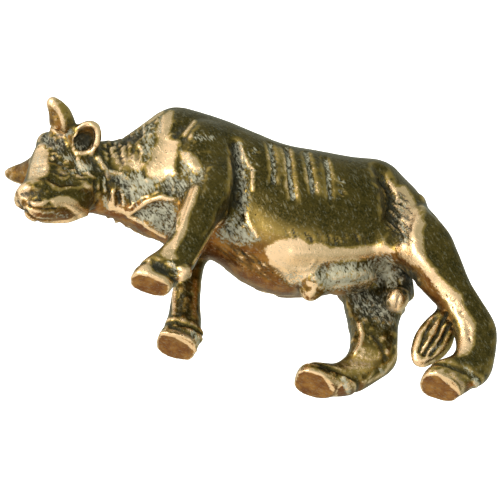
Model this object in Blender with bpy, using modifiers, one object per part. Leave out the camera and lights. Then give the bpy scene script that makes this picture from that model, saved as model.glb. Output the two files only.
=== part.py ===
"""A small cast brass bull, walking with its head lowered and turned to its left.

The casting is one solid. Its masses are drawn in side view, each section by its front and back
(or top and bottom) point, its place across and its half width, in millimetres for a figure 63.1 mm
long. They are fused, smoothed and carved, and the soles are ground flat on the plane Z = 0.
-X is the bull's front, -Y its left side.
"""

import math

import bmesh
import bpy
import numpy as np
from mathutils import Euler, Matrix, Vector

# The cast figure, in metres, and the same three sizes in the drawing
FIGURE_LENGTH = 0.0631  # from the right horn's tip to the trailing hock
FIGURE_WIDTH = 0.0161  # across the two horns
FIGURE_HEIGHT = 0.0303  # from the soles to the rump
DRAWN_LENGTH, DRAWN_WIDTH, DRAWN_HEIGHT = 63.1, 16.1, 30.3

SKIN_STEP = 0.25  # spacing of the fused skin's points
SKIN_PASSES = 12  # smoothing passes that round the joins between the masses
SOLID_TRIANGLES = 9900

BRASS = (0.30, 0.20, 0.07, 1.0)

SECTION_SIDES = 36
BODY_SQUARENESS, LEG_SQUARENESS = 2.2, 2.7  # 2 is an ellipse; more is a rounded box
STEPS_BETWEEN = 4  # rings drawn between two stations

HEAD_AT = (-28.25, -0.5, 19.65)  # the poll, between the horns
HEAD_PITCH, HEAD_ROLL, HEAD_YAW = 4.5, -14.4, 9.8  # degrees: nose in, left horn up, face to the left


# Trunk and neck: top point, bottom point, place across, half width

TRUNK = (
    (20.7, 24.1, 19.6, 18.0, 0.0, 2.0),
    (18.0, 27.1, 17.6, 16.2, 0.0, 4.2),
    (14.9, 29.0, 15.0, 15.2, 0.0, 5.5),
    (12.2, 30.3, 12.0, 13.0, 0.0, 6.3),
    (8.0, 29.2, 8.0, 10.6, 0.0, 7.0),
    (4.0, 28.5, 4.0, 9.3, 0.0, 7.3),
    (0.0, 27.9, 0.0, 9.7, 0.0, 6.9),
    (-4.0, 28.4, -4.0, 11.1, 0.0, 6.4),
    (-8.0, 28.9, -8.0, 10.8, 0.0, 6.1),
    (-11.8, 29.1, -12.0, 10.8, 0.0, 5.5),
    (-13.9, 28.8, -14.0, 11.2, 0.0, 5.0),
    (-15.4, 27.6, -15.4, 11.7, 0.0, 4.7),
    (-17.2, 24.7, -17.0, 11.9, 0.0, 4.1),
    (-19.0, 21.9, -18.6, 11.6, -0.2, 3.7),
    (-21.6, 20.1, -20.2, 11.0, -0.8, 3.3),
    (-24.8, 18.4, -22.0, 10.6, -1.4, 3.0),
)

LEFT_FORELEG = (
    (-8.2, 23.0, -4.2, 23.0, -3.2, 2.0),
    (-8.8, 19.5, -3.6, 19.5, -4.4, 2.4),
    (-8.8, 16.5, -3.7, 16.5, -5.3, 2.4),
    (-9.3, 13.6, -4.4, 13.6, -5.7, 2.2),
    (-9.5, 11.0, -4.8, 11.0, -5.6, 2.0),
    (-9.8, 8.6, -5.0, 8.6, -5.4, 1.9),
    (-9.9, 6.5, -5.5, 6.3, -5.3, 1.85),
    (-10.5, 4.9, -5.8, 4.2, -5.2, 1.9),
    (-11.6, 3.2, -6.8, 2.4, -5.15, 1.9),
    (-12.4, 1.6, -7.5, 0.7, -5.1, 1.95),
    (-12.7, -0.9, -7.6, -0.9, -5.1, 1.95),
)

RIGHT_FORELEG = (
    (-8.4, 22.6, -4.2, 22.6, 3.2, 2.0),
    (-8.8, 19.0, -3.8, 19.0, 4.2, 2.3),
    (-8.6, 16.0, -4.1, 16.0, 5.0, 2.2),
    (-8.2, 13.4, -4.6, 13.4, 5.4, 2.0),
    (-7.9, 11.0, -4.5, 11.0, 5.4, 1.8),
    (-7.5, 8.6, -4.1, 8.6, 5.4, 1.7),
    (-7.2, 6.2, -3.5, 6.2, 5.4, 1.75),
    (-7.0, 4.3, -2.9, 4.3, 5.4, 1.9),
    (-7.0, 2.8, -2.6, 2.8, 5.4, 2.2),
    (-7.3, 1.0, -2.4, 1.0, 5.5, 2.5),
    (-7.4, -0.9, -2.3, -0.9, 5.5, 2.6),
)

LEFT_HIND_LEG = (
    (14.6, 17.0, 16.2, 24.6, -2.0, 2.4),
    (17.0, 15.6, 19.2, 22.9, -3.9, 2.8),
    (19.3, 14.1, 22.2, 20.7, -4.3, 2.7),
    (21.8, 12.4, 24.6, 17.5, -4.1, 2.4),
    (24.1, 10.8, 26.7, 14.8, -3.9, 2.1),
    (25.9, 8.7, 28.8, 12.8, -3.8, 1.95),
    (26.9, 6.7, 31.0, 10.3, -3.7, 1.95),
    (26.9, 5.0, 31.9, 6.2, -3.6, 1.95),
    (26.2, 3.9, 31.8, 3.4, -3.6, 2.05),
    (24.8, 2.6, 30.3, 1.6, -3.5, 2.3),
    (24.2, 1.2, 29.2, 0.4, -3.4, 2.6),
    (24.1, -0.9, 28.8, -0.9, -3.35, 2.6),
)

RIGHT_HIND_LEG = (
    (11.0, 19.0, 19.0, 22.5, 3.6, 2.9),
    (11.0, 16.0, 19.6, 18.5, 3.9, 2.8),
    (12.1, 13.5, 19.8, 15.2, 4.1, 2.6),
    (13.8, 10.7, 19.8, 12.0, 4.3, 2.3),
    (14.7, 8.4, 20.5, 9.0, 4.5, 2.1),
    (14.9, 6.5, 20.9, 6.7, 4.6, 2.05),
    (14.6, 5.1, 19.3, 4.1, 4.7, 2.0),
    (13.6, 3.7, 17.5, 1.7, 4.8, 2.05),
    (11.6, 2.9, 16.0, 0.7, 4.6, 2.25),
    (10.0, 1.7, 14.8, 0.2, 4.3, 2.6),
    (9.6, -0.9, 14.5, -0.9, 4.15, 2.7),
)

TAIL = (
    (17.8, 27.3, 17.2, 25.4, 0.0, 1.2),
    (20.7, 25.5, 19.6, 23.9, 0.0, 1.1),
    (22.7, 22.8, 21.4, 21.8, -0.2, 1.0),
    (24.3, 19.7, 22.8, 19.2, -0.5, 0.9),
    (25.5, 16.4, 23.9, 16.0, -0.9, 0.9),
    (25.7, 14.0, 23.9, 13.8, -1.2, 0.9),
    (25.9, 12.0, 23.3, 12.0, -1.2, 1.0),
    (26.5, 10.3, 22.4, 10.2, -1.0, 1.3),
    (26.6, 8.4, 21.8, 8.3, -0.8, 1.4),
    (26.2, 6.7, 21.8, 6.4, -0.7, 1.3),
    (25.0, 5.0, 22.2, 4.8, -0.7, 0.9),
    (24.2, 4.0, 22.8, 3.9, -0.7, 0.5),
)

# Swellings: centre, half sizes along X, Y and Z, and lean about Y in degrees

BODY_LUMPS = (
    ((-8.8, -4.0, 19.4), (5.0, 2.7, 6.8), -8.0),
    ((-8.8, 4.0, 19.8), (5.0, 2.7, 7.0), -8.0),
    ((-6.4, -4.9, 15.2), (3.0, 2.3, 4.0), 12.0),
    ((-6.6, 4.5, 15.6), (3.0, 2.5, 4.4), 5.0),
    ((17.0, -3.3, 19.7), (3.4, 2.9, 4.4), 30.0),
    ((15.5, 3.2, 20.6), (4.0, 3.1, 5.8), 0.0),
    ((7.6, -0.7, 11.1), (2.8, 2.5, 1.6), 25.0),
    ((8.3, -0.4, 9.8), (1.5, 1.3, 1.4), 40.0),
    ((11.8, -1.0, 12.7), (4.0, 2.8, 1.8), -24.0),
    ((18.6, -0.3, 12.5), (1.45, 1.7, 1.75), 0.0),
    ((18.4, 0.7, 14.6), (1.9, 1.5, 3.0), 0.0),
    ((-6.7, -6.3, 2.5), (1.15, 1.1, 1.15), 0.0),
    ((-2.9, 4.5, 1.8), (1.05, 1.1, 1.05), 0.0),
    ((30.4, -4.1, 2.2), (1.1, 1.1, 1.1), 0.0),
    ((16.0, 3.7, 1.5), (1.1, 1.1, 1.0), 0.0),
)

# The head in its own frame: forehead on x = 0 facing -x, the poll at the origin, nose down

SKULL = (
    (1.6, 0.4, 6.2, 0.6, 0.0, 2.2),
    (0.5, -0.8, 7.6, -0.8, 0.0, 3.0),
    (0.0, -2.6, 8.8, -2.6, 0.0, 3.4),
    (0.0, -4.8, 9.2, -5.4, 0.0, 3.4),
    (0.1, -7.0, 9.0, -8.5, 0.0, 3.0),
    (0.2, -9.2, 7.7, -10.9, 0.0, 2.5),
    (0.2, -11.2, 5.5, -12.6, 0.0, 2.3),
    (0.3, -12.9, 4.2, -13.6, 0.0, 1.9),
)

HEAD_LUMPS = (
    ((1.75, 0.0, -11.6), (1.95, 2.55, 1.7), 0.0),
    ((3.0, 0.0, -13.0), (1.7, 1.8, 1.2), -25.0),
    ((0.8, 0.0, -1.4), (1.1, 1.5, 1.2), 0.0),
    ((6.2, -1.9, -6.4), (2.9, 1.6, 3.0), 0.0),
    ((6.2, 1.9, -6.4), (2.9, 1.6, 3.0), 0.0),
)

# Horn: centre and radius, for the left one; the right one is its mirror image
HORN = (
    ((2.6, -1.4, -2.2), 2.0),
    ((2.1, -3.0, -2.2), 1.9),
    ((1.4, -4.4, -2.1), 1.7),
    ((0.5, -5.6, -2.0), 1.4),
    ((-0.4, -6.2, -1.9), 1.1),
    ((-0.9, -6.5, -1.85), 0.85),
)

# Ear: its middle, half sizes, and the turned profile of its cup, radius and depth as shares of them
EAR_AT = (4.7, -4.9, -2.8)
EAR_HALF = (1.8, 2.3, 1.3)
EAR_ROLL = -27.0
EAR_CUP = (
    (0.05, 1.0),
    (0.5, 0.9),
    (0.85, 0.55),
    (1.0, 0.0),
    (1.0, -0.55),
    (0.9, -0.85),
    (0.74, -0.85),
    (0.64, -0.5),
    (0.5, 0.0),
    (0.05, 0.15),
)

FULL_FACING = 0.4  # cosine of the slope up to which a stroke keeps its depth

# Views of the skin: its direction, and what lies to the right and up in it
VIEWS = {
    "left": ((0, -1, 0), (1, 0, 0), (0, 0, 1)),
    "right": ((0, 1, 0), (1, 0, 0), (0, 0, 1)),
    "above": ((0, 0, 1), (1, 0, 0), (0, 1, 0)),
}

# Strokes on the body: path in the side view, half width, depth (below 0 is a ridge)

RIB_STROKES = (
    (((-1.8, 25.2), (-0.9, 23.2), (-0.2, 20.8), (0.2, 18.0)), 0.5, 0.35),
    (((0.2, 25.3), (1.2, 22.6), (2.1, 19.6), (3.1, 16.8)), 0.5, 0.35),
    (((2.7, 25.0), (3.6, 22.7), (4.6, 20.5), (5.2, 18.5)), 0.5, 0.35),
    (((5.1, 24.7), (6.2, 21.8), (7.0, 19.9), (7.4, 18.5)), 0.5, 0.35),
)

SIDE_STROKES = (
    (((-5.6, 23.0), (-4.5, 20.3), (-3.8, 17.9), (-3.2, 15.6), (-2.8, 13.0)), 1.3, 0.6),
    (((11.8, 26.5), (13.8, 22.9), (15.2, 19.3), (15.8, 17.2)), 1.5, 0.7),
    (((17.6, 25.5), (18.2, 21.5), (18.0, 18.0), (19.0, 15.6), (21.6, 13.9)), 1.2, -0.45),
    (((5.0, 11.3), (9.0, 12.8), (12.5, 14.8), (15.0, 16.4)), 0.9, -0.4),
    (((7.5, 10.6), (11.5, 12.4), (15.0, 14.4)), 0.8, 0.35),
    (((-11.6, 24.5), (-11.9, 21.5), (-11.2, 18.2), (-10.2, 15.0)), 1.1, 0.45),
    (((-15.4, 12.4), (-13.5, 13.3), (-11.0, 13.4), (-9.9, 12.4)), 0.55, -0.3),
    (((-14.2, 11.6), (-12.4, 12.1), (-10.8, 11.6)), 0.9, 0.4),
    (((-21.4, 16.2), (-19.5, 14.9), (-16.0, 14.7)), 0.6, -0.25),
    (((-19.2, 14.2), (-18.2, 12.6)), 0.45, 0.3),
    (((-17.9, 14.4), (-17.1, 12.6)), 0.45, 0.3),
    (((-16.7, 14.2), (-15.9, 12.9)), 0.45, 0.3),
)

CREST_NOTCHES = 6
CREST_ENDS = ((-20.6, 18.2), (-16.4, 22.6))
NOTCH_REACH = 1.0

# Strokes on the head, in its own side view, on both cheeks

CHEEK_STROKES = (
    (((0.4, -4.2), (1.8, -4.4), (3.2, -4.0)), 0.7, -0.35),
    (((3.8, -4.2), (4.6, -6.4), (6.2, -7.6)), 0.6, 0.35),
    (((1.7, -6.8), (2.0, -8.8), (2.4, -10.4)), 0.7, -0.25),
    (((2.9, -11.0), (4.4, -10.9), (5.4, -9.8), (7.4, -8.4)), 0.55, -0.3),
    (((2.6, -10.1), (4.2, -9.9), (5.2, -8.8)), 0.6, 0.3),
    (((0.6, -12.9), (2.2, -13.0), (3.6, -12.3), (4.4, -11.7)), 0.4, 0.4),
)

# Round marks there: place, half width, depth
CHEEK_MARKS = (
    ((1.9, -5.9), 1.15, 0.45),
    ((1.9, -5.9), 0.6, -0.6),
    ((1.7, -11.8), 0.65, 0.55),
)

# The groove round each foot between hoof and leg
CROWN_HEIGHT, CROWN_WIDTH, CROWN_DEPTH = 1.9, 0.5, 0.22

TUFT_STROKES = (
    (((24.6, 10.4), (24.5, 7.6), (23.6, 4.8)), 0.35, 0.35),
    (((23.4, 9.9), (23.3, 7.6), (23.2, 5.2)), 0.35, 0.35),
    (((25.5, 9.4), (25.4, 7.8), (24.6, 5.6)), 0.35, 0.3),
)


def section(mesh, front, back, across, half_width, squareness):
    """One ring of points, a rounded outline through the front and the back point."""
    first, last = Vector((front[0], 0, front[1])), Vector((back[0], 0, back[1]))
    centre = (first + last) / 2 + Vector((0, across, 0))
    reach = (first - last) / 2
    points = []
    for k in range(SECTION_SIDES):
        turn = 2 * math.pi * k / SECTION_SIDES
        along, aside = [
            math.copysign(abs(part) ** (2 / squareness), part) for part in (math.cos(turn), math.sin(turn))
        ]
        points.append(mesh.verts.new(centre + reach * along + Vector((0, half_width * aside, 0))))
    return points


def skin_rings(mesh, rings):
    """Closes rings of points into one tube with flat ends."""
    count = len(rings[0])
    faces = [mesh.faces.new(rings[0]), mesh.faces.new(reversed(rings[-1]))]
    for near, far in zip(rings, rings[1:]):
        for k in range(count):
            following = (k + 1) % count
            faces.append(mesh.faces.new((near[following], near[k], far[k], far[following])))
    bmesh.ops.recalc_face_normals(mesh, faces=faces)


def smooth_run(stations):
    """The stations with further ones between them, on a curve through all of them."""
    drawn = np.array(stations, dtype=float)
    padded = np.vstack((2 * drawn[0] - drawn[1], drawn, 2 * drawn[-1] - drawn[-2]))
    run = []
    for i in range(len(drawn) - 1):
        before, here, there, after = padded[i : i + 4]
        for k in range(STEPS_BETWEEN):
            t = k / STEPS_BETWEEN
            bend = (2 * before - 5 * here + 4 * there - after) * t**2
            twist = (3 * here - before - 3 * there + after) * t**3
            run.append(here + ((there - before) * t + bend + twist) / 2)
    run.append(drawn[-1])
    return run


def add_loft(mesh, stations, squareness=BODY_SQUARENESS):
    rings = [section(mesh, s[0:2], s[2:4], s[4], s[5], squareness) for s in smooth_run(stations)]
    skin_rings(mesh, rings)
    return [point for ring in rings for point in ring]


def add_lump(mesh, centre, half, lean):
    place = Matrix.Translation(centre) @ Matrix.Rotation(math.radians(lean), 4, "Y")
    place = place @ Matrix.Diagonal((*half, 1))
    made = bmesh.ops.create_uvsphere(mesh, u_segments=24, v_segments=16, radius=1, matrix=place)
    return made["verts"]


def add_horn(mesh, side):
    """A bent cone with a round tip. side is 1 for the left horn as drawn, -1 for its mirror image."""
    rings = []
    places = [Vector((x, y * side, z)) for (x, y, z), _ in HORN]
    for i, (place, (_, radius)) in enumerate(zip(places, HORN)):
        ahead = places[min(i + 1, len(places) - 1)] - places[max(i - 1, 0)]
        turn = ahead.to_track_quat("Z", "X").to_matrix().to_4x4()
        made = bmesh.ops.create_circle(
            mesh, segments=SECTION_SIDES, radius=radius, matrix=Matrix.Translation(place) @ turn
        )
        rings.append(made["verts"])
    skin_rings(mesh, rings)
    tip = add_lump(mesh, places[-1], (HORN[-1][1],) * 3, 0)
    return [point for ring in rings for point in ring] + tip


def add_ear(mesh, side):
    """A cup turned about its own axis, open towards the nose."""
    x, y, z = EAR_AT
    place = Matrix.Translation((x, y * side, z)) @ Matrix.Rotation(math.radians(EAR_ROLL * side), 4, "X")
    place = place @ Matrix.Diagonal((*EAR_HALF, 1))
    rings = []
    for radius, depth in EAR_CUP:
        lift = Matrix.Translation((0, 0, depth))
        made = bmesh.ops.create_circle(mesh, segments=SECTION_SIDES, radius=radius, matrix=place @ lift)
        rings.append(made["verts"])
    skin_rings(mesh, rings)
    return [point for ring in rings for point in ring]


def head_frame():
    angles = [math.radians(a) for a in (HEAD_ROLL, HEAD_PITCH, HEAD_YAW)]
    return Matrix.Translation(HEAD_AT) @ Euler(angles, "XYZ").to_matrix().to_4x4()


def rough_masses():
    """All masses as overlapping closed shells in one mesh, in drawn millimetres."""
    mesh = bmesh.new()
    add_loft(mesh, TRUNK)
    add_loft(mesh, TAIL)
    for stations in (LEFT_FORELEG, RIGHT_FORELEG, LEFT_HIND_LEG, RIGHT_HIND_LEG):
        add_loft(mesh, stations, LEG_SQUARENESS)
    for centre, half, lean in BODY_LUMPS:
        add_lump(mesh, centre, half, lean)
    head = add_loft(mesh, SKULL)
    for centre, half, lean in HEAD_LUMPS:
        head += add_lump(mesh, centre, half, lean)
    for side in (1, -1):
        head += add_horn(mesh, side) + add_ear(mesh, side)
    bmesh.ops.transform(mesh, matrix=head_frame(), verts=head)
    return mesh


def fused_skin(mesh):
    """The masses as one even skin, rounded where they join, as a new mesh in drawn millimetres."""
    data = bpy.data.meshes.new("masses")
    mesh.to_mesh(data)
    mesh.free()
    body = bpy.data.objects.new("masses", data)
    bpy.context.scene.collection.objects.link(body)
    fuse = body.modifiers.new("fuse", "REMESH")
    fuse.mode = "VOXEL"
    fuse.voxel_size = SKIN_STEP
    soften = body.modifiers.new("soften", "SMOOTH")
    soften.factor = 0.5
    soften.iterations = SKIN_PASSES
    graph = bpy.context.evaluated_depsgraph_get()
    skin = bpy.data.meshes.new_from_object(body.evaluated_get(graph))
    bpy.data.objects.remove(body)
    return skin


def distance_to(path, flat):
    """Distance of each flat point from a path drawn in the same view."""
    nearest = np.full(len(flat), np.inf)
    ends = np.array(path, dtype=float)
    if len(ends) == 1:
        return np.linalg.norm(flat - ends[0], axis=1)
    for first, last in zip(ends, ends[1:]):
        run = last - first
        share = np.clip((flat - first) @ run / (run @ run), 0, 1)
        gap = np.linalg.norm(flat - first - share[:, None] * run, axis=1)
        nearest = np.minimum(nearest, gap)
    return nearest


class Skin:
    """The skin's points and normals in drawn millimetres, with the depth still to be carved at each."""

    def __init__(self, data, frame):
        count = len(data.vertices)
        flat = np.empty(count * 3)
        data.vertices.foreach_get("co", flat)
        inverse = np.array(frame.inverted())
        self.points = flat.reshape(-1, 3) @ inverse[:3, :3].T + inverse[:3, 3]
        data.vertices.foreach_get("normal", flat)
        self.normals = flat.reshape(-1, 3) @ inverse[:3, :3].T
        self.depth = np.zeros(count)

    def stroke(self, view, path, half_width, depth, outside=-100.0):
        """Presses a rounded groove, or raises a ridge, where the skin faces the view."""
        direction, right, up = np.array(VIEWS[view], dtype=float)
        flat = np.stack((self.points @ right, self.points @ up), axis=1)
        near = np.clip(distance_to(path, flat) / half_width, 0, 1)
        facing = np.clip(self.normals @ direction / FULL_FACING, 0, 1)
        facing = facing * (self.points @ direction > outside)
        self.depth += depth * (1 + np.cos(np.pi * near)) / 2 * facing


def apply_depth(data, *skins):
    """Moves the skin in along its normals by the carved depths."""
    count = len(data.vertices)
    flat, normals = np.empty(count * 3), np.empty(count * 3)
    data.vertices.foreach_get("co", flat)
    data.vertices.foreach_get("normal", normals)
    total = sum(skin.depth for skin in skins)
    data.vertices.foreach_set("co", flat - normals * np.repeat(total, 3))
    data.update()


def carve_body(skin):
    for view in ("left", "right"):
        for path, width, depth in RIB_STROKES + SIDE_STROKES:
            skin.stroke(view, path, width, depth, outside=0.6)
    for path, width, depth in TUFT_STROKES:
        skin.stroke("left", path, width, depth)
        skin.stroke("right", path, width, depth)
    low, high = np.array(CREST_ENDS)
    across = np.array((high[1] - low[1], low[0] - high[0])) / np.linalg.norm(high - low)
    for k in range(CREST_NOTCHES):
        middle = low + (high - low) * k / (CREST_NOTCHES - 1)
        ends = (middle - across * NOTCH_REACH, middle + across * NOTCH_REACH / 2)
        for view in ("left", "right"):
            skin.stroke(view, ends, 0.42, 0.4)


def carve_crowns(skin):
    """The groove between hoof and leg, all round each foot."""
    near = np.clip(np.abs(skin.points[:, 2] - CROWN_HEIGHT) / CROWN_WIDTH, 0, 1)
    skin.depth += CROWN_DEPTH * (1 + np.cos(np.pi * near)) / 2


def carve_head(skin):
    for view in ("left", "right"):
        for path, width, depth in CHEEK_STROKES:
            skin.stroke(view, path, width, depth, outside=0.4)
        for place, width, depth in CHEEK_MARKS:
            skin.stroke(view, (place,), width, depth, outside=0.8)


def carve(data):
    body = Skin(data, Matrix.Identity(4))
    head = Skin(data, head_frame())
    carve_body(body)
    carve_crowns(body)
    carve_head(head)
    apply_depth(data, body, head)


def thin_out(data):
    """The skin with as few triangles as the solid may have."""
    body = bpy.data.objects.new("skin", data)
    bpy.context.scene.collection.objects.link(body)
    data.calc_loop_triangles()
    thin = body.modifiers.new("thin", "DECIMATE")
    thin.ratio = SOLID_TRIANGLES / len(data.loop_triangles)
    thin.use_collapse_triangulate = True
    graph = bpy.context.evaluated_depsgraph_get()
    solid = bpy.data.meshes.new_from_object(body.evaluated_get(graph))
    bpy.data.objects.remove(body)
    return solid


def cut_soles(skin):
    """Grinds the feet flat on Z = 0."""
    mesh = bmesh.new()
    mesh.from_mesh(skin)
    everything = mesh.verts[:] + mesh.edges[:] + mesh.faces[:]
    bmesh.ops.bisect_plane(
        mesh, geom=everything, dist=0, plane_co=(0, 0, 0), plane_no=(0, 0, 1), clear_inner=True
    )
    rims = [edge for edge in mesh.edges if edge.is_boundary]
    bmesh.ops.holes_fill(mesh, edges=rims, sides=0)
    mesh.to_mesh(skin)
    mesh.free()


def to_origin(data):
    """Scales to metres and puts the origin under the middle of the figure, on the standing plane."""
    count = len(data.vertices)
    flat = np.empty(count * 3)
    data.vertices.foreach_get("co", flat)
    points = flat.reshape(-1, 3)
    middle = (points.min(axis=0) + points.max(axis=0)) / 2
    scale = (FIGURE_LENGTH / DRAWN_LENGTH, FIGURE_WIDTH / DRAWN_WIDTH, FIGURE_HEIGHT / DRAWN_HEIGHT)
    data.transform(Matrix.Diagonal((*scale, 1)) @ Matrix.Translation((-middle[0], -middle[1], 0)))


def brass():
    material = bpy.data.materials.new("brass")
    material.use_nodes = True
    surface = material.node_tree.nodes["Principled BSDF"]
    surface.inputs["Base Color"].default_value = BRASS
    surface.inputs["Metallic"].default_value = 1.0
    surface.inputs["Roughness"].default_value = 0.35
    return material


def clear_scene():
    for leftover in list(bpy.data.objects):
        bpy.data.objects.remove(leftover)


def main():
    clear_scene()
    skin = fused_skin(rough_masses())
    carve(skin)
    solid = thin_out(skin)
    cut_soles(solid)
    to_origin(solid)
    solid.name = "bull"
    solid.materials.append(brass())
    figure = bpy.data.collections.new("bull figurine")
    bpy.context.scene.collection.children.link(figure)
    figure.objects.link(bpy.data.objects.new("bull", solid))


main()
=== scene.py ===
# %% [markdown]
# # A brass bull figurine
# The real thing is a small souvenir figure, taken to be about 63 mm long: one casting in brass with
# an olive-brown patina, rubbed bright where fingers and the polishing wheel reach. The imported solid
# already has its pose and its large forms. This lesson gives it a fine skin, cuts the small tool
# marks into it, and builds the metal.

# %% Load the frame
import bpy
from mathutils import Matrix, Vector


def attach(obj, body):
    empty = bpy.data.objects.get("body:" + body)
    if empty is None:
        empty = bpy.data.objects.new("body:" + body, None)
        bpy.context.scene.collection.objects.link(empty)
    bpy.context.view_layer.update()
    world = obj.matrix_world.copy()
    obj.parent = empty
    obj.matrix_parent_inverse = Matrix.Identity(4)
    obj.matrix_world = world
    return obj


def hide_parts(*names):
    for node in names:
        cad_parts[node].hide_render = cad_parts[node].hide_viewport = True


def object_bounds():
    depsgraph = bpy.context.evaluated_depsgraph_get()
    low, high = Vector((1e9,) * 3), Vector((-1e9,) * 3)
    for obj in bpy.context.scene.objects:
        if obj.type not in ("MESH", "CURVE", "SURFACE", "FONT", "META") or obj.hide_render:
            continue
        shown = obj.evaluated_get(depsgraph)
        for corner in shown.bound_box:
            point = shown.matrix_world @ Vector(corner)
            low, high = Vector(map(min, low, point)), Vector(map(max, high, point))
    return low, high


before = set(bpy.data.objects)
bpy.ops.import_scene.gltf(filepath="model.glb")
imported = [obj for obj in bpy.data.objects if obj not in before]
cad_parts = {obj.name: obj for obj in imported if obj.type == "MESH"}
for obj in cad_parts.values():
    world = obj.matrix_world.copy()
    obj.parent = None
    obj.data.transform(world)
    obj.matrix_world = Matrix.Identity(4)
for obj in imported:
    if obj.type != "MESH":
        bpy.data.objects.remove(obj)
cad_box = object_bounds()
print("solid box, mm:", [[round(c * 1000, 2) for c in corner] for corner in cad_box])

# %% Tools for the lesson
import math

import bmesh
import bpy
import numpy as np
from mathutils import Euler, Matrix, Vector

MM = 0.001

# %% [markdown]
# ## The camera
# The photograph looks at the bull's left side from 35 degrees below its standing plane, so all four
# soles show, and the picture is rolled 18 degrees clockwise. A very long lens keeps the near and the
# far legs at one scale, as they are in the photograph.

# %% Camera
PHOTO_ELEVATION = -35.0
PHOTO_ROLL = 18.0
FIELD_WIDTH = 60.0 * MM  # real width that the picture spans at the figure
LENS, SENSOR = 1200.0, 36.0
LOOK_AT = Vector((-0.48, 0.0, 13.0)) * MM


def photo_camera():
    tilt, roll = math.radians(PHOTO_ELEVATION), math.radians(PHOTO_ROLL)
    back = Vector((0, -math.cos(tilt), math.sin(tilt)))
    level_up = Vector((0, math.sin(tilt), math.cos(tilt)))
    level_right = Vector((1, 0, 0))
    right = level_right * math.cos(roll) + level_up * math.sin(roll)
    up = level_up * math.cos(roll) - level_right * math.sin(roll)
    camera = bpy.data.objects.new("camera", bpy.data.cameras.new("camera"))
    camera.data.lens = LENS
    camera.data.sensor_width = SENSOR
    camera.data.clip_start, camera.data.clip_end = 0.01, 20.0
    turn = Matrix((right, up, back)).transposed().to_4x4()
    distance = FIELD_WIDTH * LENS / SENSOR
    camera.matrix_world = Matrix.Translation(LOOK_AT + back * distance) @ turn
    bpy.context.scene.collection.objects.link(camera)
    bpy.context.scene.camera = camera
    return camera


camera = photo_camera()
bpy.context.scene.view_settings.view_transform = "Standard"
print("camera stands", round(camera.location.length * 1000), "mm from the figure")

# %% [markdown]
# ## A fine skin
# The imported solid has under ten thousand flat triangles. A copy of it is welded, turned into an even
# net of small squares and relaxed, so that the facets melt into the rounded surface of cast metal and
# there are enough points to cut fine marks into.

# %% Fine skin
SKIN_STEP = 0.25 * MM
SKIN_PASSES = 9


def fine_skin(node):
    mesh = bmesh.new()
    mesh.from_mesh(node.data)
    bmesh.ops.remove_doubles(mesh, verts=mesh.verts, dist=0.001 * MM)
    data = bpy.data.meshes.new("welded")
    mesh.to_mesh(data)
    mesh.free()
    draft = bpy.data.objects.new("draft", data)
    bpy.context.scene.collection.objects.link(draft)
    net = draft.modifiers.new("net", "REMESH")
    net.mode = "VOXEL"
    net.voxel_size = SKIN_STEP
    relax = draft.modifiers.new("relax", "SMOOTH")
    relax.factor = 0.5
    relax.iterations = SKIN_PASSES
    graph = bpy.context.evaluated_depsgraph_get()
    skin = bpy.data.meshes.new_from_object(draft.evaluated_get(graph))
    bpy.data.objects.remove(draft)
    skin.name = "bull_casting"
    return skin


skin = fine_skin(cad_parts["bull"])
print("fine skin:", len(skin.vertices), "points,", 2 * len(skin.polygons), "triangles")

# %% [markdown]
# ## Measuring on the casting
# Marks are drawn as the photograph shows them: u runs along the bull, v runs up the picture, both in
# millimetres, with the roll taken out. A mark is a line or an outline in that drawing. It reaches the
# points of the skin that look towards the drawing and lie under the mark. Two mirrored drawings carry
# the same marks to the hidden side: one mirrors the body, the other the turned head in its own frame.

# %% Drawings
DRAWING_ORIGIN = (0.446, 0.008, 0.0)  # the figure's own origin, as it stands in the drawing, mm
HEAD_AT = (-28.25, -0.5, 19.65)  # the poll, between the horns
HEAD_TURN = (-14.4, 4.5, 9.8)  # roll, pitch and yaw of the head, degrees
HEAD_MIDDLE, HEAD_REACH = (-26.0, -2.0, 14.0), 9.5
EDGE_SPREAD = 1.8  # the softness of all outlines against their drawn softness
FULL_FACING = 0.3  # a mark keeps its depth on skin that slopes away by up to about 72 degrees
HIDDEN_FROM, HIDDEN_FULL = 0.3, 0.6  # how far skin looks to the hidden side before it takes mirrored marks

SEEN_TILT = math.radians(PHOTO_ELEVATION)
TOWARDS = np.array((0, -math.cos(SEEN_TILT), math.sin(SEEN_TILT)))
UP = np.array((0, math.sin(SEEN_TILT), math.cos(SEEN_TILT)))
ALONG = np.array((1.0, 0, 0))


def read_skin(skin):
    count = len(skin.vertices)
    points, normals = np.empty(count * 3), np.empty(count * 3)
    skin.vertices.foreach_get("co", points)
    skin.vertices.foreach_get("normal", normals)
    return points.reshape(-1, 3) / MM + DRAWING_ORIGIN, normals.reshape(-1, 3)


def to_segments(path, flat):
    """Distance of each flat point from the nearest of the path's segments."""
    ends = np.array(path, dtype=float)
    nearest = np.linalg.norm(flat - ends[0], axis=1)
    for first, last in zip(ends, ends[1:]):
        run = last - first
        share = np.clip((flat - first) @ run / (run @ run), 0, 1)
        nearest = np.minimum(nearest, np.linalg.norm(flat - first - share[:, None] * run, axis=1))
    return nearest


def is_inside(outline, flat):
    """Counts how often a ray to the right of each point crosses the outline."""
    inside = np.zeros(len(flat), dtype=bool)
    for (u1, v1), (u2, v2) in zip(outline, outline[1:] + outline[:1]):
        if v1 == v2:
            continue
        crosses = (v1 > flat[:, 1]) != (v2 > flat[:, 1])
        inside ^= crosses & (flat[:, 0] < u1 + (flat[:, 1] - v1) * (u2 - u1) / (v2 - v1))
    return inside


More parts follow.
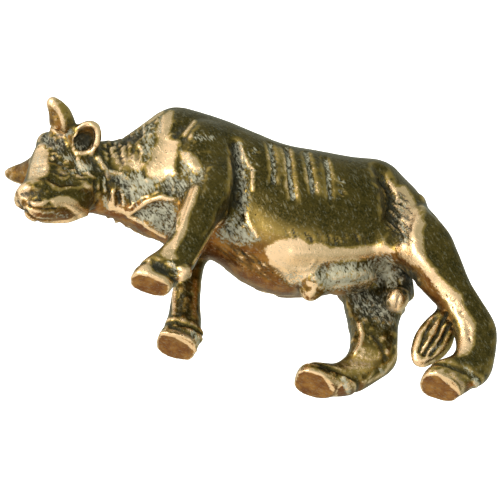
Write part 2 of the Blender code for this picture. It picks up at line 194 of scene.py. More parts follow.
class Drawing:
    """The skin as one drawing sees it: flat places, and how far each point may take a mark."""

    def __init__(self, points, normals, mirror=None, near_head=False):
        turn = np.eye(4) if mirror is None else np.array(mirror)
        places = points @ turn[:3, :3].T + turn[:3, 3]
        facing = normals @ turn[:3, :3].T @ TOWARDS
        self.flat = np.stack((places @ ALONG, places @ UP), axis=1)
        self.open = np.clip(facing / FULL_FACING, 0, 1)
        if near_head:
            self.open *= np.linalg.norm(points - HEAD_MIDDLE, axis=1) < HEAD_REACH

    def line(self, path, half_width):
        near = np.clip(to_segments(path, self.flat) / half_width, 0, 1)
        return (1 + np.cos(np.pi * near)) / 2 * self.open

    def field(self, outline, soft):
        edge = to_segments(outline + outline[:1], self.flat)
        edge = np.where(is_inside(outline, self.flat), edge, -edge)
        return np.clip(0.5 + edge / (EDGE_SPREAD * soft), 0, 1) * self.open


def draw_skin(skin):
    """The four drawings of a skin: the body and its mirror image, the head and its own."""
    points, normals = read_skin(skin)
    angles = [math.radians(a) for a in HEAD_TURN]
    head_frame = Matrix.Translation(HEAD_AT) @ Euler(angles).to_matrix().to_4x4()
    across = Matrix.Diagonal((1, -1, 1, 1))
    body = [Drawing(points, normals), Drawing(points, normals, across)]
    body[1].open *= np.clip((normals[:, 1] - HIDDEN_FROM) / (HIDDEN_FULL - HIDDEN_FROM), 0, 1)
    head = [
        Drawing(points, normals, None, True),
        Drawing(points, normals, head_frame @ across @ head_frame.inverted(), True),
    ]
    return points, normals, body, head


points, normals, body, head = draw_skin(skin)
# The pale layer is worn brass and painted reflection, the dark layer is grime and painted shade, the brown
# layer is a painted reflection on skin that looks down.
layers = {name: np.zeros(len(points)) for name in ("depth", "crust", "wear_and_sheen", "grime_and_shade", "ash", "brown_reflection")}
print("drawings ready for", len(points), "points")

# %% Tools for marks
def lay(share, amounts):
    """Adds a mark: a depth (below 0 is a ridge) adds up, the other layers keep their strongest mark."""
    for name, amount in amounts.items():
        if name == "depth":
            layers[name] += amount * share
        else:
            layers[name] = np.maximum(layers[name], amount * share)


def lines(drawings, marks):
    for drawing in drawings:
        for path, half_width, amounts in marks:
            lay(drawing.line(path, half_width), amounts)


def fields(drawings, marks):
    for drawing in drawings:
        for outline, soft, amounts in marks:
            lay(drawing.field(outline, soft), amounts)


def hatch(drawings, path, count, length, slant, half_width, amounts, seed):
    """Short strokes of the tool, side by side along a path."""
    dice = np.random.default_rng(seed)
    ends = np.array(path, dtype=float)
    marks = np.concatenate(([0], np.cumsum(np.linalg.norm(np.diff(ends, axis=0), axis=1))))
    for k in range(count):
        along = marks[-1] * (k + dice.uniform(0.2, 0.8)) / count
        middle = np.array([np.interp(along, marks, ends[:, axis]) for axis in (0, 1)])
        middle += dice.uniform(-0.3, 0.3, 2)
        turn = math.radians(slant + dice.uniform(-12, 12))
        reach = np.array((math.cos(turn), math.sin(turn))) * length * dice.uniform(0.35, 0.6)
        force = dice.uniform(0.5, 1.2)
        scaled = {name: amount * force for name, amount in amounts.items()}
        lines(drawings, [((middle - reach, middle + reach), half_width, scaled)])


# %% [markdown]
# ## The trunk
# Four ribs drawn with a narrow tool hold pale ash. A hatched crease runs behind the shoulder and another
# before the thigh, both darkened with grime and painted shade. The lower flank and a long field down
# the thigh are painted pale: worn brass and painted reflection.

# %% Trunk
RIBS = (
    ((-1.7, 23.4), (-0.9, 22.1), (-0.3, 20.7), (0.1, 19.2)),
    ((0.4, 23.5), (1.1, 22.2), (1.8, 20.4), (2.5, 19.0), (3.0, 18.1)),
    ((2.8, 23.8), (3.5, 22.5), (4.3, 21.0), (5.0, 19.6)),
    ((5.1, 23.9), (5.9, 22.7), (6.5, 21.2), (7.2, 19.6)),
)
SHOULDER_CREASE = ((-5.6, 22.2), (-4.6, 20.2), (-3.7, 17.8), (-3.0, 15.0))
THIGH_CREASE = ((13.0, 23.4), (14.4, 21.6), (15.2, 19.6), (16.0, 17.6))
# Pale lines are worn brass and painted highlight; dark lines are grime and painted shade in the ribs and
# the shoulder crease.
lines(body, [(rib, 0.42, {"depth": 0.14, "ash": 1.0, "grime_and_shade": 0.2}) for rib in RIBS])
lines(body, [
    (((-5.7, 22.0), (-4.7, 19.4), (-3.9, 17.0), (-3.4, 15.2)), 0.9, {"grime_and_shade": 0.9, "depth": 0.1}),
    (((-5.2, 22.0), (-4.2, 20.0), (-3.3, 18.0), (-2.6, 16.2), (-2.4, 14.9)), 0.9, {"ash": 0.9}),
    (((-4.9, 22.0), (-4.0, 21.0), (-3.3, 20.3), (-2.7, 19.9), (-2.4, 19.0)), 0.35,
     {"wear_and_sheen": 0.8, "depth": -0.1}),
    (((-2.3, 18.6), (-1.9, 17.6)), 0.35, {"wear_and_sheen": 0.8, "depth": -0.1}),
    (((-1.9, 14.7), (-1.3, 13.8), (0.2, 12.4)), 0.35, {"wear_and_sheen": 0.9}),
    (((9.2, 8.9), (11.0, 9.6), (13.0, 10.5), (15.0, 11.4)), 0.5, {"wear_and_sheen": 0.5}),
    (((7.8, 9.0), (8.7, 9.0), (8.6, 7.6)), 0.6, {"wear_and_sheen": 1.0}),
    (((7.4, 9.3), (7.9, 8.2)), 0.3, {"depth": 0.05, "grime_and_shade": 0.2}),
    (((2.2, 10.6), (3.6, 10.1), (5.2, 9.8), (7.4, 10.5), (7.8, 11.9)), 0.4, {"depth": -0.08}),
])
# Pale fields: worn brass and painted reflection on the lower flank and down the thigh, with a faint painted
# sheen on the middle flank. Dark fields: grime and painted shade in the thigh crease and the groin.
fields(body, [
    (((1.6, 11.4), (2.9, 12.8), (5.1, 13.8), (6.5, 13.4), (7.4, 14.0), (9.0, 13.8), (11.1, 14.4),
      (13.0, 15.3), (15.3, 16.3), (16.6, 15.8), (14.8, 14.8), (12.8, 13.6), (10.8, 12.9), (8.6, 11.8),
      (8.0, 10.2), (6.8, 8.9), (5.8, 8.2), (4.5, 8.9), (2.7, 9.9)), 0.4, {"wear_and_sheen": 1.0}),
    (((-1.6, 15.9), (0.0, 15.6), (2.5, 14.9), (7.0, 15.2), (8.7, 14.7), (6.9, 13.2), (2.9, 12.6),
      (1.8, 11.3), (-0.3, 12.5)), 1.2, {"wear_and_sheen": 0.24}),
    (((14.3, 23.3), (15.3, 23.6), (16.4, 22.8), (17.4, 21.6), (18.2, 20.8), (18.9, 20.0), (18.8, 19.3),
      (19.2, 18.2), (19.5, 17.3), (20.4, 16.0), (21.4, 15.1), (22.6, 14.5), (24.0, 13.8), (25.6, 13.3),
      (26.2, 12.2), (27.3, 11.3), (28.2, 10.6), (28.4, 9.6), (28.8, 8.2), (28.5, 7.0), (27.6, 6.4),
      (27.3, 7.2), (27.2, 8.4), (26.9, 9.4), (26.2, 10.4), (25.2, 11.0), (24.4, 12.0), (23.6, 12.4),
      (22.4, 13.4), (21.2, 14.2), (20.0, 15.0), (18.6, 15.0), (17.2, 15.6), (16.4, 16.4), (16.9, 17.2),
      (17.7, 17.4), (17.4, 18.6), (16.6, 19.4), (15.9, 20.6), (16.1, 21.8), (15.4, 22.6), (14.4, 22.8)),
     0.4, {"wear_and_sheen": 1.0}),
    (((14.6, 22.6), (15.4, 22.4), (16.4, 21.6), (16.0, 20.4), (16.8, 19.4), (17.6, 18.0), (17.7, 17.0),
      (16.8, 16.9), (16.2, 18.0), (15.6, 19.6), (15.2, 21.0)), 0.7, {"ash": 0.55}),
    (((11.9, 23.6), (13.4, 23.9), (14.6, 22.6), (15.2, 21.0), (15.7, 19.4), (16.3, 17.6), (15.6, 17.2),
      (14.6, 18.6), (14.0, 20.2), (13.4, 21.8), (12.0, 22.9)), 1.0, {"grime_and_shade": 0.75, "depth": 0.06}),
    (((-4.2, 12.6), (-3.2, 14.4), (-2.0, 14.2), (-1.2, 13.2), (0.6, 12.0), (-0.6, 11.2), (-2.4, 10.9),
      (-3.4, 10.6), (-4.4, 11.2)), 0.6, {"ash": 0.75}),
    (((14.6, 14.4), (16.0, 15.0), (17.2, 14.2), (18.2, 13.0), (17.6, 11.9), (16.0, 11.6), (14.6, 11.9),
      (14.2, 13.0)), 0.8, {"ash": 1.0, "grime_and_shade": 0.35}),
    (((17.0, 14.6), (19.6, 14.4), (21.0, 13.2), (20.4, 12.2), (20.2, 11.0), (18.8, 11.6), (18.0, 12.8)),
     0.6, {"grime_and_shade": 1.0}),
    (((7.6, 11.1), (10.8, 12.7), (13.0, 13.0), (14.7, 14.7), (16.7, 14.6), (16.3, 13.3), (14.4, 11.2),
      (11.8, 9.6), (10.2, 8.8), (8.1, 9.6)), 0.6, {"ash": 0.85, "grime_and_shade": 0.2}),
    (((4.6, 9.2), (5.8, 10.0), (7.4, 10.2), (7.2, 9.0), (6.6, 8.2), (5.0, 8.4)), 0.8, {"ash": 0.55}),
    (((17.4, 11.2), (18.8, 11.3), (20.2, 10.4), (19.6, 9.2), (18.5, 9.0), (17.8, 10.0)), 0.4, {"wear_and_sheen": 1.4}),
    (((11.4, 23.2), (13.1, 23.3), (14.8, 22.7), (16.2, 21.0), (16.2, 19.4), (16.0, 17.2), (15.3, 16.6),
      (14.3, 18.4), (13.2, 20.6), (12.2, 22.1)), 1.2, {"grime_and_shade": 0.6}),
    (((-16.6, 22.0), (-14.0, 23.4), (-8.0, 20.0), (-8.2, 16.0), (-9.8, 13.4), (-10.2, 9.0), (-15.6, 9.6),
      (-21.0, 12.8), (-21.6, 17.4)), 1.5, {"crust": 1.0}),
    (((13.6, 15.2), (16.6, 15.0), (21.0, 13.6), (21.0, 9.4), (17.0, 6.0), (12.2, 8.6)), 1.2,
     {"crust": 1.0}),
    (((-4.6, 15.0), (-2.6, 14.8), (0.6, 12.6), (7.0, 9.6), (7.0, 7.6), (0.0, 8.4), (-5.0, 9.4)), 1.2,
     {"crust": 0.45}),
])
# Dark cuts: grime and painted shade.
lines(body, [
    (((-3.5, 12.4), (-2.9, 11.9)), 0.6, {"grime_and_shade": 1.0, "depth": 0.15}),
    (((18.6, 11.0), (18.7, 9.5)), 0.28, {"grime_and_shade": 0.9, "depth": 0.15}),
])
# Dark tool strokes: grime and painted shade in the cuts.
hatch(body, ((-2.6, 10.4), (1.0, 9.6), (5.6, 8.6)), 16, 2.2, -24, 0.24, {"depth": 0.07, "grime_and_shade": 0.55}, 19)
hatch(body, ((-3.4, 9.6), (0.0, 8.9), (4.0, 8.0)), 12, 2.0, -22, 0.24, {"depth": 0.07, "grime_and_shade": 0.55}, 20)
hatch(body, SHOULDER_CREASE, 24, 1.3, -55, 0.26, {"depth": 0.14, "grime_and_shade": 0.7}, 1)
hatch(body, THIGH_CREASE, 40, 1.9, -35, 0.26, {"depth": 0.12, "grime_and_shade": 0.7}, 2)
hatch(
    body, ((15.4, 22.6), (16.4, 20.6), (16.8, 18.8), (17.2, 17.4)), 22, 1.5, -20, 0.2,
    {"depth": 0.1, "grime_and_shade": 1.0}, 3,
)
hatch(
    body, ((3.0, 13.6), (6.4, 14.2), (9.4, 15.0), (12.8, 16.2)), 20, 1.0, -50, 0.22,
    {"depth": 0.1, "grime_and_shade": 0.75}, 4,
)
hatch(body, ((-3.4, 22.6), (-2.6, 19.6)), 8, 0.7, -15, 0.2, {"depth": 0.1, "ash": 0.8}, 5)
hatch(body, ((7.6, 22.4), (8.6, 20.0)), 8, 0.6, -15, 0.2, {"depth": 0.1, "ash": 0.8}, 6)
print("trunk drawn, ashen points:", int((layers["ash"] > 0.5).sum()))

# %% [markdown]
# ## The neck
# Flat cuts and folds: a pale field on the side and a pale edge up to the withers, worn brass and painted
# reflection, a grey oval hollow with a raised rim on the chest, slanting folds on the throat and rows of
# short tufts under the crest; the crest and the throat are darkened with grime and painted shade.

# %% Neck
# Pale fields: worn brass and painted reflection. Dark fields: grime and painted shade under the crest, on
# the throat and in the chest hollow.
fields(body, [
    (((-14.6, 20.1), (-13.9, 20.4), (-12.4, 20.3), (-12.1, 19.2), (-11.9, 17.9), (-11.7, 16.4),
      (-12.4, 16.0), (-12.9, 15.2), (-13.6, 15.4), (-14.3, 15.1), (-14.9, 16.2), (-14.6, 17.4),
      (-14.9, 18.6), (-14.4, 19.2)), 0.35, {"wear_and_sheen": 1.0, "depth": 0.1}),
    (((-15.2, 21.0), (-15.0, 22.6), (-14.3, 23.6), (-14.0, 23.6), (-13.7, 22.0), (-13.7, 20.3),
      (-14.9, 20.2)), 0.3, {"wear_and_sheen": 1.0}),
    (((-11.6, 19.2), (-10.5, 19.5), (-9.5, 19.1), (-8.7, 18.3), (-9.1, 17.4), (-10.1, 18.0),
      (-10.9, 18.3)), 0.35, {"wear_and_sheen": 1.0, "depth": -0.1}),
    (((-19.1, 16.5), (-17.7, 17.3), (-16.1, 17.6), (-15.9, 16.5), (-16.8, 15.5), (-17.9, 15.0),
      (-18.8, 15.6)), 0.6, {"wear_and_sheen": 0.55}),
    (((-17.3, 16.1), (-16.2, 16.7), (-15.3, 16.5), (-15.6, 15.7), (-16.7, 15.5)), 0.4, {"wear_and_sheen": 1.0}),
    (((-18.7, 14.2), (-16.8, 14.6), (-14.5, 15.2), (-13.2, 15.0), (-13.4, 13.6), (-14.6, 12.5),
      (-14.8, 11.6), (-16.0, 12.1), (-17.3, 13.1)), 0.6, {"ash": 0.8, "grime_and_shade": 0.4}),
    (((-18.8, 11.1), (-17.7, 11.3), (-16.5, 10.8), (-15.3, 10.7), (-15.3, 10.1), (-16.7, 9.9),
      (-18.2, 10.3)), 0.4, {"wear_and_sheen": 0.7}),
    (((-10.2, 18.0), (-9.3, 17.6), (-8.2, 18.2), (-8.1, 16.6), (-9.0, 15.9), (-9.9, 16.5)), 0.4,
     {"ash": 0.8, "depth": 0.1}),
    (((-14.7, 10.4), (-13.8, 11.5), (-12.6, 12.7), (-11.0, 13.2), (-10.0, 12.8), (-9.6, 11.5),
      (-9.3, 10.3), (-9.6, 9.3), (-11.0, 9.3), (-12.6, 9.8), (-14.0, 10.0)), 0.5,
     {"ash": 0.75, "grime_and_shade": 0.7, "depth": 0.12}),
    (((-20.6, 17.8), (-19.2, 19.0), (-17.8, 19.8), (-16.4, 20.6), (-16.2, 19.2), (-17.0, 18.4),
      (-18.6, 17.6), (-20.6, 17.2)), 0.7, {"grime_and_shade": 0.85}),
    (((-21.6, 15.8), (-20.2, 14.4), (-16.2, 14.2), (-15.9, 13.0), (-15.4, 12.0), (-16.6, 12.4),
      (-17.4, 13.0), (-18.6, 12.6), (-19.4, 13.6), (-21.0, 13.8), (-22.2, 15.2)), 0.6,
     {"grime_and_shade": 0.85, "depth": 0.12}),
    (((-16.0, 15.8), (-14.6, 15.2), (-13.0, 15.4), (-13.0, 14.0), (-14.0, 13.4), (-14.2, 12.2),
      (-15.2, 12.4), (-15.8, 13.6), (-16.4, 14.4)), 0.5, {"ash": 0.9}),
    (((-16.0, 21.6), (-15.3, 21.2), (-15.4, 19.8), (-15.0, 18.8), (-15.2, 17.0), (-15.8, 16.8),
      (-16.2, 18.8), (-16.6, 20.4)), 0.5, {"ash": 0.7}),
    (((-11.6, 19.2), (-10.4, 19.4), (-10.0, 18.0), (-10.2, 16.6), (-11.2, 16.6), (-11.0, 17.8)), 0.5,
     {"ash": 0.65}),
    (((-12.4, 16.2), (-11.4, 16.2), (-9.8, 16.4), (-9.4, 15.6), (-9.7, 14.6), (-9.9, 13.8),
      (-11.2, 14.0), (-12.4, 14.3), (-12.6, 15.0)), 0.5, {"ash": 0.6, "grime_and_shade": 0.7, "depth": 0.2}),
])
# Pale ridges: worn brass and painted highlight. Dark cuts: grime and painted shade.
lines(body, [
    (((-18.0, 20.0), (-16.2, 22.0), (-15.2, 23.2)), 0.4, {"wear_and_sheen": 0.8}),
    (((-15.2, 22.5), (-14.7, 20.9)), 0.35, {"ash": 1.0, "grime_and_shade": 0.5, "depth": 0.15}),
    (((-11.1, 23.2), (-11.8, 21.4)), 0.4, {"wear_and_sheen": 0.8, "depth": -0.1}),
    (((-12.4, 22.2), (-12.8, 20.9)), 0.7, {"grime_and_shade": 0.8, "depth": 0.12}),
    (((-10.4, 21.6), (-8.6, 22.0)), 0.7, {"ash": 0.45, "grime_and_shade": 0.5}),
    (((-15.0, 10.4), (-13.6, 12.3), (-12.2, 13.3), (-10.6, 13.6)), 0.4, {"wear_and_sheen": 0.95, "depth": -0.16}),
    (((-15.0, 10.0), (-13.2, 9.7), (-11.5, 9.2), (-10.2, 9.0)), 0.35, {"wear_and_sheen": 0.8, "depth": -0.1}),
    (((-9.6, 13.2), (-9.4, 11.4), (-9.1, 10.2)), 0.3, {"depth": -0.1}),
    (((-18.9, 16.4), (-18.3, 15.9)), 0.5, {"wear_and_sheen": 0.7, "depth": -0.12}),
    (((-16.6, 18.5), (-16.0, 17.9)), 0.35, {"wear_and_sheen": 0.8, "depth": -0.1}),
    (((-17.1, 17.4), (-16.7, 16.6)), 0.3, {"wear_and_sheen": 0.8, "depth": -0.1}),
    (((-20.8, 15.4), (-19.2, 14.4), (-17.4, 14.6)), 0.4, {"ash": 0.5, "depth": -0.12}),
    (((-19.3, 13.4), (-18.8, 12.0)), 0.3, {"ash": 0.9, "depth": -0.15}),
    (((-18.6, 11.2), (-18.0, 10.2)), 0.4, {"ash": 0.9}),
    (((-17.8, 12.2), (-17.3, 10.8)), 0.3, {"wear_and_sheen": 0.5, "depth": -0.15}),
    (((-16.6, 12.2), (-16.1, 11.0)), 0.3, {"ash": 0.9, "depth": -0.15}),
    (((-18.3, 12.4), (-17.8, 11.0)), 0.25, {"grime_and_shade": 0.9, "depth": 0.2}),
    (((-17.2, 12.4), (-16.7, 11.0)), 0.25, {"grime_and_shade": 0.9, "depth": 0.2}),
    (((-16.0, 12.4), (-15.4, 11.2)), 0.25, {"grime_and_shade": 0.9, "depth": 0.2}),
    (((-17.7, 10.2), (-16.4, 10.5), (-15.2, 10.2)), 0.4, {"wear_and_sheen": 1.0, "depth": -0.1}),
])
# Dark tufts: grime and painted shade in the cuts.
hatch(
    body, ((-20.3, 17.7), (-18.6, 19.0), (-16.6, 20.4)), 10, 1.4, -60, 0.26,
    {"depth": 0.22, "grime_and_shade": 0.9}, 7,
)
hatch(body, ((-20.0, 18.0), (-18.2, 19.2), (-16.6, 20.8)), 7, 0.9, -60, 0.2, {"ash": 0.9, "depth": -0.1}, 8)
hatch(
    body, ((-20.0, 16.6), (-17.8, 17.4), (-16.2, 17.6)), 9, 1.1, -70, 0.26,
    {"depth": 0.2, "grime_and_shade": 0.9}, 9,
)
hatch(body, ((-19.6, 15.8), (-17.0, 16.4)), 6, 0.9, -70, 0.24, {"depth": 0.15, "grime_and_shade": 0.8}, 10)
print("neck drawn, pale points of wear and sheen:", int((layers["wear_and_sheen"] > 0.5).sum()))

# %% [markdown]
# ## The face
# The head is a blunt wedge: heavy brow darkened with grime and painted shade, a small deep eye, a pale
# nose side and round nose pad, worn brass and painted highlight, a mouth slit with a painted highlight on
# the lip and a strong jaw whose edge carries one long painted highlight. The horns and the underside of
# the jaw are painted brown, a painted reflection.

# %% Head
# Pale fields: worn brass and painted highlight on the nose side, nose pad and jaw. Dark fields: grime and
# painted shade on the brow, in the ear's cup, on the cheek and by the nostril. Brown fields on the horns
# and under the jaw: painted reflection.
fields(head, [
    (((-28.2, 14.2), (-27.6, 14.7), (-26.9, 14.6), (-26.6, 14.0), (-26.5, 13.2), (-26.0, 12.6),
      (-26.0, 11.6), (-26.6, 11.2), (-27.2, 10.4), (-27.9, 10.2), (-27.9, 10.9), (-28.3, 12.4)), 0.3,
     {"wear_and_sheen": 1.0}),
    (((-27.8, 13.8), (-27.0, 13.4), (-26.8, 12.6), (-26.2, 12.2), (-26.6, 11.6), (-27.6, 11.4),
      (-28.0, 12.6)), 0.5, {"ash": 0.6}),
    (((-28.5, 9.6), (-28.0, 10.0), (-27.5, 9.6), (-27.3, 8.8), (-27.2, 8.2), (-27.8, 8.0), (-28.4, 8.4),
      (-28.8, 9.0)), 0.35, {"wear_and_sheen": 1.0, "depth": -0.12}),
    (((-27.2, 9.9), (-25.8, 10.2), (-25.4, 9.6), (-25.6, 8.9), (-26.4, 8.5), (-27.0, 8.5),
      (-27.2, 9.0)), 0.4, {"grime_and_shade": 0.6, "depth": 0.12}),
    (((-24.6, 8.9), (-23.7, 9.6), (-22.7, 9.9), (-21.6, 9.7), (-21.0, 9.2), (-19.8, 9.1), (-20.1, 8.5),
      (-21.2, 8.3), (-22.1, 8.7), (-23.0, 8.8), (-23.8, 8.4)), 0.3, {"wear_and_sheen": 1.2, "depth": -0.2}),
    (((-31.6, 10.4), (-30.3, 11.4), (-29.4, 12.3), (-28.6, 13.6), (-28.1, 12.8), (-28.4, 11.0),
      (-28.8, 9.2), (-30.0, 9.0), (-31.4, 9.6)), 0.5, {"grime_and_shade": 0.4, "brown_reflection": 1.0}),
    (((-28.2, 19.2), (-27.7, 19.1), (-26.9, 18.1), (-26.4, 17.0), (-27.0, 16.7), (-27.5, 17.9)), 0.4,
     {"brown_reflection": 1.0, "grime_and_shade": 0.2}),
    (((-28.8, 9.0), (-28.0, 7.9), (-26.6, 7.2), (-24.6, 7.6), (-22.0, 8.1), (-20.4, 8.3), (-22.6, 6.9),
      (-26.6, 6.0), (-29.0, 7.4)), 0.5, {"brown_reflection": 0.9}),
    (((-28.4, 16.4), (-24.0, 16.4), (-20.4, 15.2), (-20.2, 11.8), (-22.0, 10.4), (-26.0, 10.4),
      (-26.4, 13.6), (-28.2, 14.6)), 1.0, {"crust": 0.55}),
    (((-28.2, 16.3), (-27.6, 16.4), (-26.6, 16.2), (-25.4, 16.6), (-24.7, 15.6), (-24.6, 14.8),
      (-25.6, 14.6), (-26.8, 14.9), (-27.8, 14.9), (-28.3, 15.4)), 0.4, {"grime_and_shade": 0.9, "ash": 0.35}),
    (((-24.1, 16.4), (-24.0, 17.1), (-23.5, 17.8), (-22.7, 18.0), (-22.3, 17.5), (-22.3, 16.8),
      (-22.6, 16.0), (-23.3, 15.7), (-23.9, 15.9)), 0.2, {"grime_and_shade": 0.9, "depth": 0.2}),
    (((-24.0, 16.4), (-22.6, 16.6), (-22.8, 15.9), (-23.6, 15.8)), 0.3, {"ash": 0.6}),
    (((-24.0, 17.1), (-23.5, 18.3), (-22.6, 18.5), (-22.1, 17.8), (-22.3, 17.2)), 0.2, {"grime_and_shade": 0.5}),
    (((-24.9, 14.8), (-23.8, 14.7), (-23.4, 14.2), (-22.0, 14.6), (-21.4, 14.4), (-21.2, 13.4),
      (-22.4, 13.4), (-23.2, 14.0), (-24.6, 14.2)), 0.4, {"ash": 1.0}),
    (((-26.0, 14.0), (-24.6, 14.0), (-22.8, 13.2), (-21.2, 13.0), (-20.4, 12.4), (-21.4, 11.8),
      (-23.6, 11.9), (-25.2, 11.6), (-26.0, 12.6)), 0.8, {"grime_and_shade": 0.5}),
])
# Pale lines: painted highlight with wear on the brow, lip, horn and ear rim. Dark lines: grime and painted
# shade in the nostril, mouth, eye and cuts.
lines(head, [
    (((-28.3, 16.2), (-28.2, 15.3)), 0.35, {"wear_and_sheen": 0.7}),
    (((-27.0, 7.9), (-26.2, 7.9), (-25.4, 8.2), (-25.0, 8.6)), 0.35, {"wear_and_sheen": 1.0, "depth": -0.15}),
    (((-26.4, 8.45), (-25.7, 8.75)), 0.28, {"grime_and_shade": 1.0, "depth": 0.25}),
    (((-28.3, 7.7), (-27.6, 7.0), (-26.9, 6.7)), 0.32, {"grime_and_shade": 0.9, "depth": 0.15}),
    (((-26.6, 7.4), (-25.0, 7.6), (-23.6, 8.2)), 0.25, {"depth": 0.15, "grime_and_shade": 0.5}),
    (((-25.0, 7.2), (-23.4, 7.8)), 0.25, {"ash": 0.4}),
    (((-23.4, 7.2), (-22.0, 8.0)), 0.25, {"ash": 0.45}),
    (((-26.3, 14.0), (-25.9, 14.25), (-25.5, 14.0)), 0.22, {"depth": 0.2, "grime_and_shade": 0.9}),
    (((-25.95, 13.8), (-25.85, 13.75)), 0.34, {"depth": -0.15, "ash": 0.7}),
    (((-26.3, 13.5), (-25.8, 13.35)), 0.2, {"depth": 0.15, "grime_and_shade": 0.9}),
    (((-28.1, 20.1), (-27.3, 19.6), (-26.6, 19.0), (-26.0, 18.2), (-25.7, 17.3)), 0.42, {"wear_and_sheen": 1.0}),
    (((-28.3, 20.3), (-27.9, 20.5)), 0.55, {"wear_and_sheen": 0.9}),
    (((-25.2, 18.2), (-24.8, 18.6)), 0.6, {"grime_and_shade": 0.6}),
    (((-26.6, 16.6), (-25.8, 16.7)), 0.4, {"depth": 0.15, "grime_and_shade": 0.8}),
    (((-25.3, 16.7), (-24.9, 17.6)), 0.4, {"ash": 0.9, "depth": 0.1}),
    (((-24.0, 18.2), (-23.3, 18.9), (-22.4, 18.9), (-21.8, 18.2), (-21.6, 17.2), (-22.0, 16.2),
      (-22.6, 15.6), (-23.4, 15.3)), 0.5, {"wear_and_sheen": 1.0}),
    (((-23.3, 19.0), (-23.9, 18.0), (-24.4, 17.0), (-24.2, 16.2), (-23.8, 15.4)), 0.25, {"wear_and_sheen": 0.8}),
    (((-23.6, 14.9), (-23.1, 14.0), (-22.6, 13.4), (-22.0, 13.0)), 0.2, {"grime_and_shade": 1.0, "depth": 0.2}),
    (((-20.2, 12.8), (-19.8, 11.6), (-19.2, 10.4)), 0.45, {"grime_and_shade": 0.6, "depth": 0.12}),
    (((-24.0, 8.7), (-22.9, 8.8), (-21.9, 8.6), (-21.0, 8.2)), 0.25, {"depth": 0.1}),
])
# Dark tool strokes: grime and painted shade; pale grey strokes: ash.
hatch(head, ((-27.8, 15.6), (-24.9, 15.6)), 10, 0.8, -60, 0.2, {"depth": 0.16, "ash": 0.8}, 11)
hatch(head, ((-27.6, 15.2), (-25.0, 16.0)), 7, 0.7, -50, 0.2, {"depth": 0.16, "grime_and_shade": 1.0}, 12)
hatch(head, ((-25.2, 13.4), (-21.6, 13.2)), 10, 0.8, 15, 0.18, {"depth": 0.12, "ash": 0.6}, 13)
hatch(head, ((-25.4, 12.2), (-21.4, 12.4)), 10, 0.7, 10, 0.18, {"depth": 0.1, "grime_and_shade": 0.7}, 14)
hatch(head, ((-27.6, 12.6), (-26.4, 12.2)), 4, 1.0, 20, 0.18, {"depth": 0.1, "grime_and_shade": 0.5}, 15)
print("head drawn, dark points of grime and shade:", int((layers["grime_and_shade"] > 0.5).sum()))

# %% [markdown]
# ## Legs, feet and tail
# Hoofs are parted from the legs by a bright raised welt, worn brass and painted highlight, above a hollow
# darkened with grime and painted shade; heel knobs carry ash, and the tail tuft is combed by grooves. The
# front edge of the near foreleg is painted pale: worn brass and painted reflection. These marks belong
# to the near side alone; the far legs have a few of their own, and the hidden outer faces get the
# general wear further down.

# %% Legs, feet and tail
NEAR = body[:1]
# Pale fields: worn brass and painted reflection on the foreleg's front edge and the welts. Dark fields:
# grime and painted shade, deepest between the hind legs.
fields(NEAR, [
    (((-8.9, 16.0), (-8.2, 15.8), (-8.1, 14.0), (-8.3, 12.8), (-8.1, 11.0), (-8.1, 9.8), (-8.4, 8.6),
      (-8.6, 7.5), (-8.0, 7.0), (-9.0, 6.6), (-10.0, 6.9), (-9.8, 7.8), (-9.2, 8.9), (-8.9, 10.0),
      (-9.0, 11.5), (-9.3, 12.8), (-9.4, 14.0), (-9.2, 15.0)), 0.3, {"wear_and_sheen": 1.0}),
    (((-10.8, 5.9), (-9.4, 6.1), (-8.4, 5.2), (-7.6, 4.5), (-8.4, 4.6), (-9.8, 4.7), (-10.6, 5.0)), 0.35,
     {"grime_and_shade": 0.9, "depth": 0.15}),
    (((-12.0, 4.2), (-11.0, 5.7), (-10.6, 5.0), (-10.2, 4.6), (-8.6, 4.5), (-8.1, 3.8), (-9.0, 3.7),
      (-10.4, 3.9), (-12.1, 3.9)), 0.3, {"wear_and_sheen": 1.0, "depth": -0.08}),
    (((-7.4, 6.0), (-6.2, 6.1), (-6.1, 5.2), (-6.8, 4.4), (-7.2, 5.2)), 0.35, {"wear_and_sheen": 1.0, "depth": -0.2}),
    (((12.2, 9.6), (14.0, 10.6), (17.0, 10.8), (18.4, 9.2), (19.0, 8.8), (19.4, 7.2), (18.0, 7.0),
      (16.4, 7.2), (14.6, 7.4), (13.4, 8.2)), 0.8, {"grime_and_shade": 0.85, "ash": 0.4}),
    (((26.0, 4.2), (28.0, 5.8), (29.0, 5.4), (29.2, 3.6), (29.8, 2.6), (28.6, 2.8), (26.8, 3.5)), 0.5,
     {"grime_and_shade": 0.45}),
])
